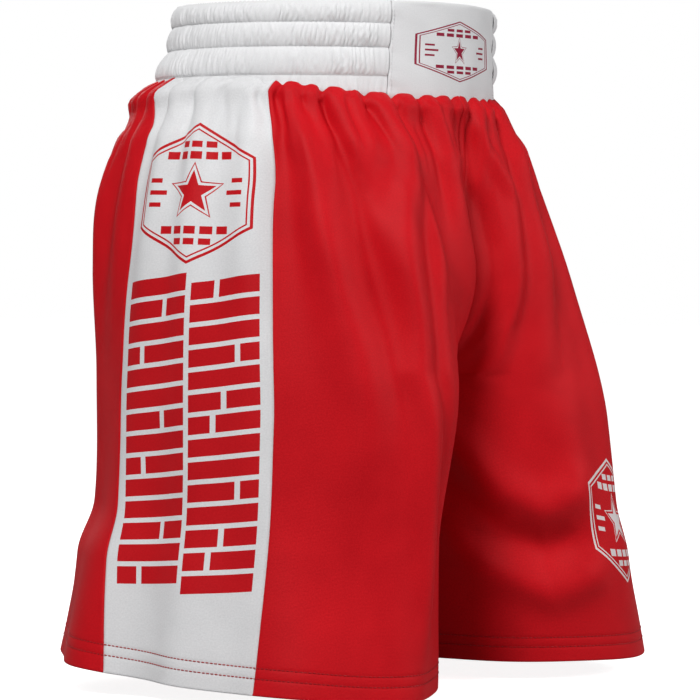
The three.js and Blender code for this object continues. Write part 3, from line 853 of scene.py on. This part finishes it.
# ---- Waistband ----
def band_point(angle, z, offset):
    """Point on the band by angle from the centre front, height, and distance outside its face."""
    t = np.clip((BAND_TOP - z) / (BAND_TOP - FOOT_FRONT), 0, 1)
    a = WAIST_HALF[0] - BAND_TAPER / 2 * (1 - t)
    b = WAIST_HALF[1] - BAND_TAPER / 2 * (1 - t)
    x, y = a * np.sin(angle), -b * np.cos(angle)
    nx, ny = x / (a * a), y / (b * b)
    size = np.hypot(nx, ny)
    offset = offset + flare(band_station(angle)) * smooth(6, FOOT_BACK, z)
    middle = mix(-BAND_FORWARD, BAND_SET_BACK, t)
    return np.stack([x + nx / size * offset, y + middle + ny / size * offset, z + 0 * x], -1)


def band_station(angle):
    """Station below a place on the band."""
    return np.abs((angle + np.pi) % (2 * np.pi) - np.pi) / np.pi


def band_top(angle):
    return BAND_TOP - 1.0 + 2.4 * np.cos(angle) ** 2


BEHIND_LEGS = 7.5       # how far the band reaches below the waist seam, inside the legs


def band_foot(angle):
    return seam_height(band_station(angle)) - BEHIND_LEGS


ARC_PER_RADIAN = 127.0  # mean length round the band to one radian
CASING_THICKNESS = 0.45
CASING_SPREAD = 1.45    # how far the weave is spread round the casing, to the band's own length
CASING_STEP = 1.6       # spread of the weave from one line of the casing to the next
CASING_FOLD = 1.4       # height of the fold along the top
CASING_DEPTH = 3.3      # from the casing's outer face to its inner one


def puckers(arc, t, seed, pitch=3.6):
    """Fine gathers across a channel at share t of its height: 0 in a valley to about 1 on a ridge."""
    centre = np.abs(2 * t - 1)
    lean = wander(arc, 16, seed + 1) * 2.2 * (t - 0.5) + wander(arc + 60 * t, 9, seed + 2) * 1.1
    phase = 2 * np.pi * (arc + lean + 1.3 * wander(arc, 7, seed + 3)) / pitch
    ridge = (0.5 + 0.5 * np.cos(phase)) ** 0.7
    broad = (0.5 + 0.5 * np.cos(phase * 0.43 + 2 * wander(arc, 13, seed + 4) + 1.5 * t)) ** 0.8
    strength = 0.62 + 0.38 * wander(arc, 11, seed + 5)
    return strength * mix(0.55 * ridge + 0.75 * broad, ridge, centre**2)


def casing_profile():
    """Stops up the outer face, over the top fold and down the inner face: zone, and share of it."""

    def eased(count):
        return (1 - np.cos(np.pi * np.linspace(0, 1, count))) / 2

    stops = [(0, t) for t in np.linspace(0, 1, 12)[:-1]]
    stops += [(zone, t) for zone in (1, 2, 3) for t in eased(14)[:-1]]
    stops += [(3, 1.0)] + [(4, t) for t in (0.25, 0.5, 0.75, 1.0)]
    stops += [(zone, t) for zone in (5, 6, 7) for t in eased(7)[1:]]
    return stops + [(8, t) for t in (0.3, 0.6, 1.0)]


def casing_line(zone, t, edges, arc, calm):
    """Height and offset of the casing along one stop. Zone 4 is the fold along the top."""
    z = mix(edges[zone], edges[zone + 1], t) + 0 * arc
    if zone == 4:
        z = z + (CASING_FOLD + 0.5 * puckers(arc, 1.0, 30) * calm) * np.sin(t * np.pi)
        return z, mix(-0.1, -CASING_DEPTH, t) + 0 * arc
    if zone == 0:
        tucked = 1 - smooth(0, 0.4, t)
        ruffle = (2.0 * puckers(arc, t, 40, 4.4) - 0.2) * (1 - t) ** 0.7 * calm
        return z, ruffle * (1 - tucked) - 0.3 * t - 1.2 * tucked
    ridge = puckers(arc, t, 10 * zone)
    if zone < 4:
        swell = np.sin(np.pi * t) ** 0.55
        full = 1.3 + 0.4 * wander(arc, 40, 90 + zone)
        return z, swell * (full + 1.9 * ridge * calm) - 0.45 * (1 - swell)
    return z, -CASING_DEPTH - np.sin(np.pi * t) ** 0.6 * (0.4 + 0.9 * ridge)


def casing(columns=1500):
    angle = np.linspace(PANEL_ANGLE + 0.002, 2 * np.pi - PANEL_ANGLE - 0.002, columns)
    arc = angle * ARC_PER_RADIAN
    ends = np.minimum(angle - angle[0], angle[-1] - angle) * ARC_PER_RADIAN
    calm = 0.3 + 0.7 * smooth(0, 14, ends)
    foot, top = band_foot(angle), band_top(angle) - CASING_FOLD
    edges = [foot, *CHANNEL_EDGES[::-1], top, top, *CHANNEL_EDGES, foot]
    rows, flat = [], []
    for number, (zone, t) in enumerate(casing_profile()):
        rows.append(band_point(angle, *casing_line(zone, t, edges, arc, calm)))
        flat.append(np.stack([arc * CASING_SPREAD, 0 * arc + CASING_STEP * number], -1))
    points, flat = np.concatenate(rows), np.concatenate(flat)
    faces = quads(len(rows), columns)
    piece = make_mesh("waistband_casing_cloth", points, faces, flat, materials=[WHITE_BAND])
    return thicken(piece, CASING_THICKNESS)


FRONT_THICKNESS = 0.6
FLAT_ARC = 126.0        # cloth of the flat panel to one radian of the band
TOP_FOLD = 1.5          # radius of its fold along the top
FRONT_HEIGHT = BAND_TOP - TOP_FOLD - FOOT_FRONT
FOLD_LENGTH = np.pi * TOP_FOLD


def front_panel_path(run, foot, top):
    """Height and offset of the flat panel's cloth from its foot, over the top and down inside."""
    turn = np.clip((run - FRONT_HEIGHT) / TOP_FOLD, 0, np.pi)
    down = np.maximum(run - FRONT_HEIGHT - FOLD_LENGTH, 0)
    share = (np.minimum(run, FRONT_HEIGHT) - down) / FRONT_HEIGHT
    z = foot + share * (top - foot) + TOP_FOLD * np.sin(turn)
    return z, -TOP_FOLD * (1 - np.cos(turn))


def front_panel_lift(x, y, ends):
    """How far the flat panel's outer face stands out: a little full, and uneven near its edges."""
    wobble = 0.35 * wander(x * 0.6 + y * 0.9, 12, 61) + 0.3 * wander(x - y * 0.5, 21, 62)
    wobble += 0.9 * np.exp(-ends / 9) * wander(y + 0.25 * x, 5.5, 63)
    wobble += 0.55 * np.exp(-y / 7) * wander(x, 5, 64)
    fullness = 0.8 * np.sin(np.pi * np.clip(y / FRONT_HEIGHT, 0, 1)) ** 0.6
    dip = 0.7 * np.exp(-(ends**2))
    return fullness + wobble - dip - 1.2 * (1 - smooth(0, 7, y))


def front_waist_panel():
    height = FRONT_HEIGHT
    reach = (PANEL_ANGLE - 0.002) * FLAT_ARC
    xs = edge_steps(2 * reach, 2.0) - reach
    outside = [0, 0.7, 1.6, *np.linspace(3, height - 3, 30), height - 1.4]
    over = height + FOLD_LENGTH * np.array([0, 0.2, 0.4, 0.6, 0.8, 1.0])
    inside = np.linspace(height + FOLD_LENGTH, 2 * height + FOLD_LENGTH, 16)[1:]
    shapes = [s + (0, 35.5) for s in badge(90, 39)]
    found, faces, inked = printed_sheet(xs, np.concatenate([outside, over, inside]), shapes, 1.6)
    x, y = found.T
    angle = x / FLAT_ARC
    z, offset = front_panel_path(y, band_foot(angle), band_top(angle) - TOP_FOLD)
    offset = offset + (y < height) * front_panel_lift(x, y, reach - np.abs(x))
    points = band_point(angle, z, offset)
    piece = make_mesh("front_waist_panel_cloth", points, faces, found, inked, [WHITE_BAND, CRIMSON_INK])
    return thicken(piece, FRONT_THICKNESS)


# ---- Stitching ----
# Rows of stitching: pitch, length and width of a stitch.
HEM_STITCH, BAND_STITCH, END_STITCH = (3.1, 2.5, 0.8), (2.6, 2.0, 0.55), (2.8, 2.2, 0.55)
STITCH_SUNK = 0.1       # how far a row lies in the cloth
# A stitch's cross sections: place along it, size, and how far it is lifted.
STITCH_SHAPE = [
    (-0.5, 0.25, -0.5), (-0.36, 0.85, 0.1), (0.0, 1.0, 0.35), (0.36, 0.85, 0.1), (0.5, 0.25, -0.5),
]  # fmt: skip


def stitches(name, points, normals, pitch, length, width, material):
    """A row of short rounded stitches along a line of points."""
    steps = np.linalg.norm(np.diff(points, axis=0), axis=1)
    at = np.concatenate([[0], np.cumsum(steps)])
    count = int(at[-1] / pitch)
    middles = (np.arange(count) + 0.5) * at[-1] / count

    def sample(where, values):
        return np.stack([np.interp(where, at, values[:, k]) for k in range(3)], -1)

    centre = sample(middles, points)
    ahead = unit(sample(middles + 0.3, points) - sample(middles - 0.3, points))
    out = unit(sample(middles, normals))
    across = np.cross(ahead, out)
    rings = []
    for along, size, lift in STITCH_SHAPE:
        for angle in 2 * np.pi * np.arange(6) / 6:
            sideways = across * (np.cos(angle) * size * width / 2)
            up = out * ((np.sin(angle) * size * 0.7 + lift) * width / 2)
            rings.append(centre + ahead * along * length + sideways + up)
    one = tube(len(STITCH_SHAPE), 6)
    faces = [[i + c * len(rings) for i in face] for c in range(count) for face in one]
    return make_mesh(name, np.stack(rings, 1).reshape(-1, 3), faces, materials=[material])


def hem_stitches(side, leg, grid, row_name, height, material):
    u = np.linspace(0, U_EDGES[-1], 700)
    v = np.full_like(u, LEG_DROP - height)
    out = grid_normal(leg, grid, u, v)
    name = f"{side}_hem_stitching_{row_name}"
    return stitches(name, grid.at(u, v) - out * STITCH_SUNK, out, *HEM_STITCH, material)


def band_stitches(row_name, z, material):
    angle = np.linspace(PANEL_ANGLE + 0.01, 2 * np.pi - PANEL_ANGLE - 0.01, 900)
    points = band_point(angle, z + 0 * angle, -STITCH_SUNK)
    out = unit(band_point(angle, z + 0 * angle, 1.0) - points)
    return stitches(f"band_stitching_{row_name}", points, out, *BAND_STITCH, material)


def band_strip(name, angles, low, high, offset, thickness, material):
    """A flat strip inside the band, as a closed solid."""
    corners = [(low, offset), (high, offset), (high, offset - thickness), (low, offset - thickness)]
    rows = np.stack([band_point(angles, z + 0 * angles, out) for z, out in corners], 1)
    return make_mesh(name, rows.reshape(-1, 3), tube(len(angles), 4), materials=[material])


ALLOWANCE_DROP, ALLOWANCE_INSET = 10.0, 5.2     # below the waist seam and inside the band's face
ALLOWANCE_SIZE = (7.0, 1.4)                     # its height and depth


def waist_allowance(material):
    """The bound seam allowance under the waistband, gathered with the legs."""
    angle = np.linspace(0, 2 * np.pi, 500)
    ripple = 0.4 * wander(angle * ARC_PER_RADIAN, 9, 77)
    height = seam_height(band_station(angle)) - ALLOWANCE_DROP
    centre = band_point(angle, height, ripple - ALLOWANCE_INSET)
    out = unit(band_point(angle, centre[:, 2], 2.0) - band_point(angle, centre[:, 2], 0.0))
    upward = np.tile([0.0, 0.0, 1.0], (len(angle), 1))
    return ribbon("waist_seam_allowance", centre, out, upward, *ALLOWANCE_SIZE, material)


def end_stitches(side, sign, material):
    z = np.linspace(BAND_TOP - 2, FOOT_FRONT + 3, 90)
    angle = np.full_like(z, sign * (PANEL_ANGLE - 0.018))
    points = band_point(angle, z, 0.75)
    out = unit(band_point(angle, z, 2.0) - points)
    return stitches(f"band_end_stitching_{side}", points, out, *END_STITCH, material)


# ---- Inner seams ----
SEAM_INSET = 2.2        # from the cloth's face to the middle of a leg's seam allowance
SEAM_SIZE = (5.0, 1.3)  # width and depth of a leg's seam allowance
# A seam allowance's cross section: across it and through it.
ALLOWANCE_SHAPE = [(-0.5, 0), (-0.25, 0.5), (0.25, 0.5), (0.5, 0), (0.25, -0.5), (-0.25, -0.5)]


def ribbon(name, points, normals, sideways, width, depth, material):
    """A soft overlocked seam allowance: a rounded band along a line."""
    ripple = 1 + 0.12 * np.sin(np.arange(len(points)) * 2.1)
    rings = []
    for a, b in ALLOWANCE_SHAPE:
        rings.append(points + sideways * (a * width * ripple)[:, None] + normals * (b * depth))
    faces = tube(len(points), len(ALLOWANCE_SHAPE))
    return make_mesh(name, np.stack(rings, 1).reshape(-1, 3), faces, materials=[material])


def inner_seam(name, leg, grid, u, first, last, material):
    v = np.arange(first, last, 1.5)
    uu = np.full_like(v, u)
    out = grid_normal(leg, grid, uu, v)
    centre = grid.at(uu, v) - out * SEAM_INSET
    down = unit(np.gradient(centre, axis=0))
    return ribbon(name, centre, out, np.cross(down, out), *SEAM_SIZE, material)


# ---- Materials ----
def node(tree, kind, **values):
    """A shader node, with its settings and the values of its inputs."""
    made = tree.nodes.new(kind)
    for key, value in values.items():
        if hasattr(made, key):
            setattr(made, key, value)
        else:
            made.inputs[key.replace("_", " ")].default_value = value
    return made


def set_inputs(made, values):
    """Constants on the inputs of a shader."""
    for name, value in values.items():
        made.inputs[name].default_value = value


def cloth_places(tree, coordinates):
    """Places on the cut cloth, or on the object for pieces that have none; both in mm."""
    if coordinates == "flat":
        return node(tree, "ShaderNodeAttribute", attribute_name="flat").outputs["Vector"]
    scaled = node(tree, "ShaderNodeMapping", Scale=(1000, 1000, 1000))
    tree.links.new(node(tree, "ShaderNodeTexCoord").outputs["Object"], scaled.inputs["Vector"])
    return scaled.outputs["Vector"]


def woven_relief(tree, places, grain, weave, bump):
    """Threads both ways and a grain over them, as a bumped normal."""
    link = tree.links.new
    threads = node(tree, "ShaderNodeMath", operation="MULTIPLY")
    for k, (direction, scale) in enumerate((("X", 0.16), ("Y", 0.13))):
        wave = node(tree, "ShaderNodeTexWave", bands_direction=direction, Distortion=0.6, Detail=1.0)
        wave.inputs["Scale"].default_value = scale / weave
        link(places, wave.inputs["Vector"])
        link(wave.outputs["Fac"], threads.inputs[k])
    fine = node(tree, "ShaderNodeMath", operation="ADD")
    link(threads.outputs[0], fine.inputs[0])
    link(grain, fine.inputs[1])
    height = node(tree, "ShaderNodeBump", Strength=bump, Distance=0.0002)
    link(fine.outputs[0], height.inputs["Height"])
    return height.outputs["Normal"]


def fabric(name, colour, deep, roughness, sheen, weave, bump, coordinates="flat"):
    """Cloth with a fine woven grain, mottled colour and a soft sheen."""
    material = bpy.data.materials.new(name)
    material.use_nodes = True
    tree = material.node_tree
    shader = tree.nodes["Principled BSDF"]
    link = tree.links.new
    places = cloth_places(tree, coordinates)
    grain = node(tree, "ShaderNodeTexNoise", Scale=1.0 / (3.4 * weave), Detail=3.0, Roughness=0.7)
    mottle = node(tree, "ShaderNodeTexNoise", Scale=1 / 38.0, Detail=2.0, Roughness=0.5)
    for texture in (grain, mottle):
        link(places, texture.inputs["Vector"])
    link(woven_relief(tree, places, grain.outputs["Fac"], weave, bump), shader.inputs["Normal"])
    shade = node(tree, "ShaderNodeMix", data_type="FLOAT")
    shade.inputs["Factor"].default_value = 0.35
    link(grain.outputs["Fac"], shade.inputs["A"])
    link(mottle.outputs["Fac"], shade.inputs["B"])
    ramp = node(tree, "ShaderNodeValToRGB")
    for stop, at, tint in zip(ramp.color_ramp.elements, (0.34, 0.66), (deep, colour)):
        stop.position = at
        stop.color = (*tint, 1)
    link(shade.outputs[0], ramp.inputs["Fac"])
    link(ramp.outputs["Color"], shader.inputs["Base Color"])
    rough = node(tree, "ShaderNodeMapRange")
    set_inputs(rough, {"To Min": roughness - 0.05, "To Max": roughness + 0.07})
    link(grain.outputs["Fac"], rough.inputs["Value"])
    link(rough.outputs["Result"], shader.inputs["Roughness"])
    set_inputs(shader, {"Sheen Weight": sheen, "Sheen Roughness": 0.35, "Specular IOR Level": 0.12})
    return material


RED = fabric("red_polyester", (0.63, 0.006, 0.012), (0.48, 0.002, 0.007), 0.52, 0.0, 0.35, 0.35)
WHITE = fabric("white_polyester", (0.79, 0.79, 0.80), (0.67, 0.67, 0.68), 0.55, 0.03, 0.35, 0.3)
WHITE_BAND = fabric("white_band_cloth", (0.82, 0.82, 0.83), (0.74, 0.74, 0.75), 0.58, 0.03, 0.3, 0.3)
RED_INK = fabric("red_print", (0.58, 0.008, 0.013), (0.48, 0.004, 0.009), 0.5, 0.0, 0.35, 0.3)
WHITE_INK = fabric("white_print", (0.78, 0.72, 0.72), (0.70, 0.64, 0.64), 0.5, 0.0, 0.35, 0.3)
CRIMSON_INK = fabric("crimson_print", (0.33, 0.010, 0.045), (0.27, 0.008, 0.035), 0.5, 0.02, 0.3, 0.3)
RED_THREAD = fabric("red_thread", (0.45, 0.009, 0.014), (0.34, 0.006, 0.010), 0.45, 0.2, 0.25, 0.6, "object")
WHITE_THREAD = fabric("white_thread", (0.82, 0.82, 0.83), (0.72, 0.72, 0.73), 0.45, 0.2, 0.25, 0.6, "object")
ELASTIC = fabric("woven_elastic", (0.70, 0.68, 0.62), (0.58, 0.56, 0.50), 0.7, 0.2, 0.8, 0.8, "object")
INTERLINING = fabric("interlining_felt", (0.74,) * 3, (0.66,) * 3, 0.85, 0.3, 0.6, 0.7, "object")

# ---- Assembly ----
base, hung = simulate()
settled = settle(base, hung)
GRIDS = {
    "right": Grid(settled[0], settled[1]),
    "left": Grid(settled[1], settled[0]),
}

for side, leg in LEGS.items():
    grid = GRIDS[side]
    if side == "left":
        front = panel("front_panel", side, leg, grid, [RED, WHITE_INK], badge_print())
    else:
        front = panel("front_panel", side, leg, grid, [RED])
    strip = panel("side_panel", side, leg, grid, [WHITE, RED_INK], side_print())
    back = panel("back_panel", side, leg, grid, [RED])
    finish_piece(front, f"{side}_front_panel")
    finish_piece(strip, f"{side}_side_panel")
    finish_piece(back, f"{side}_back_panel")
    for row_name, height in zip(("upper", "lower"), STITCH_ROWS):
        row = hem_stitches(side, leg, grid, row_name, height, RED_THREAD)
        finish_piece(row, f"{side}_hem_stitch_{row_name}")
    seams = (
        ("side_seam_front", U_EDGES[1], 14),
        ("side_seam_back", U_EDGES[2], 14),
        ("inseam", 0, V_CROTCH + 6),
    )
    for name, u, first in seams:
        seam = inner_seam(f"{side}_{name}_allowance", leg, grid, u, first, HEM_TOP - 2, RED_THREAD)
        finish_piece(seam, f"{side}_{name}")
for name, u in (("front_rise_seam", 0), ("back_rise_seam", U_EDGES[-1])):
    seam = inner_seam(f"{name}_allowance", LEGS["left"], GRIDS["left"], u, 14, V_CROTCH - 4, RED_THREAD)
    finish_piece(seam, name)

band = finish_piece(casing(), "waistband_casing")
flat_panel = finish_piece(front_waist_panel(), "front_waist_panel")
for row_name, z in zip(("upper", "middle", "lower"), CHANNEL_EDGES):
    finish_piece(band_stitches(row_name, z, WHITE_THREAD), f"band_stitch_{row_name}")
for side, sign in (("right", -1), ("left", 1)):
    finish_piece(end_stitches(side, sign, WHITE_THREAD), f"band_end_seam_{side}")

TAPE_GAP, TAPE_WIDTH, TAPE_INSET, TAPE_DEPTH = 1.4, 11.5, 1.4, 1.1
around = np.linspace(PANEL_ANGLE + 0.004, 2 * np.pi - PANEL_ANGLE - 0.004, 300)
for row_name, z in zip(("upper", "middle", "lower"), CHANNEL_EDGES):
    foot = z + TAPE_GAP
    name = f"elastic_tape_{row_name}"
    tape = band_strip(name, around, foot, foot + TAPE_WIDTH, -TAPE_INSET, TAPE_DEPTH, ELASTIC)
    finish_piece(tape, f"elastic_{row_name}")
flat_part = np.linspace(-PANEL_ANGLE + 0.02, PANEL_ANGLE - 0.02, 40)
felt = band_strip("front_interlining", flat_part, FOOT_FRONT + 5, BAND_TOP - 4, -0.9, 1.0, INTERLINING)
finish_piece(felt, "front_panel_interlining")
finish_piece(waist_allowance(WHITE_THREAD), "waist_seam")


# ---- Camera, light and floor, in metres ----
LENS, CAMERA_AWAY, CAMERA_Z = 189.8, 2.755, -0.147
HEADING, TILT, PAN = math.radians(56), math.radians(1.475), math.radians(0.264)


def add_camera():
    """Long lens, level with the legs, from the wearer's right and in front."""
    data = bpy.data.cameras.new("camera")
    data.sensor_width = 36
    data.lens = LENS
    data.clip_end = 50
    camera = bpy.data.objects.new("camera", data)
    bpy.context.scene.collection.objects.link(camera)
    back = Vector((-math.sin(HEADING), -math.cos(HEADING), 0))
    camera.location = back * CAMERA_AWAY + Vector((0, 0, CAMERA_Z))
    right = Vector((math.cos(HEADING), -math.sin(HEADING), 0))
    aim = -back * math.cos(TILT) + right * math.sin(PAN) - Vector((0, 0, math.sin(TILT)))
    camera.rotation_mode = "QUATERNION"
    camera.rotation_quaternion = aim.to_track_quat("-Z", "Y")
    bpy.context.scene.camera = camera


def area_light(name, energy, size, location, target=(0, 0, -0.2)):
    data = bpy.data.lights.new(name, "AREA")
    data.energy, data.size, data.shape = energy, size, "DISK"
    lamp = bpy.data.objects.new(name, data)
    bpy.context.scene.collection.objects.link(lamp)
    lamp.location = location
    lamp.rotation_mode = "QUATERNION"
    lamp.rotation_quaternion = (Vector(target) - Vector(location)).to_track_quat("-Z", "Y")


def camera_or_light(tree, seen, unseen, surface):
    """Links one shader for what the camera sees and another for the light that falls from it."""
    ray = node(tree, "ShaderNodeLightPath")
    either = node(tree, "ShaderNodeMixShader")
    tree.links.new(ray.outputs["Is Camera Ray"], either.inputs["Fac"])
    tree.links.new(unseen, either.inputs[1])
    tree.links.new(seen, either.inputs[2])
    tree.links.new(either.outputs["Shader"], surface)


def add_world(behind, around):
    """White behind the object, and an even light of its own strength around it."""
    world = bpy.data.worlds.new("studio")
    bpy.context.scene.world = world
    world.use_nodes = True
    tree = world.node_tree
    backdrop = tree.nodes["Background"]
    backdrop.inputs["Color"].default_value = (1, 1, 1, 1)
    backdrop.inputs["Strength"].default_value = behind
    light = node(tree, "ShaderNodeBackground", Color=(1, 1, 1, 1), Strength=around)
    surface = tree.nodes["World Output"].inputs["Surface"]
    camera_or_light(tree, backdrop.outputs["Background"], light.outputs["Background"], surface)


def add_floor(size=12.0):
    """A pale floor just under the hems, which looks as white as what is behind the object."""
    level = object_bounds()[0].z - 0.002
    corners = [(-size, -size, level), (size, -size, level), (size, size, level), (-size, size, level)]
    mesh = bpy.data.meshes.new("floor")
    mesh.from_pydata(corners, [], [(0, 1, 2, 3)])
    floor = bpy.data.objects.new("floor", mesh)
    bpy.context.scene.collection.objects.link(floor)
    pale = bpy.data.materials.new("pale_floor")
    pale.use_nodes = True
    shader = pale.node_tree.nodes["Principled BSDF"]
    set_inputs(shader, {"Base Color": (0.85, 0.85, 0.85, 1), "Roughness": 1.0, "Specular IOR Level": 0.0})
    set_inputs(shader, {"Emission Color": (1, 1, 1, 1), "Emission Strength": 0.88})
    tree = pale.node_tree
    bounce = node(tree, "ShaderNodeBsdfDiffuse", Color=(0.42, 0.42, 0.42, 1))
    surface = tree.nodes["Material Output"].inputs["Surface"]
    camera_or_light(tree, shader.outputs["BSDF"], bounce.outputs["BSDF"], surface)
    mesh.materials.append(pale)


add_camera()
add_world(behind=1.0, around=0.25)
add_floor()
area_light("key", 44, 0.7, (-1.75, -0.55, 1.5))
area_light("front_fill", 22, 0.9, (0.9, -2.3, 0.7))
area_light("rim", 12, 1.4, (1.2, 2.0, 0.9))
bpy.context.scene.view_settings.view_transform = "Standard"
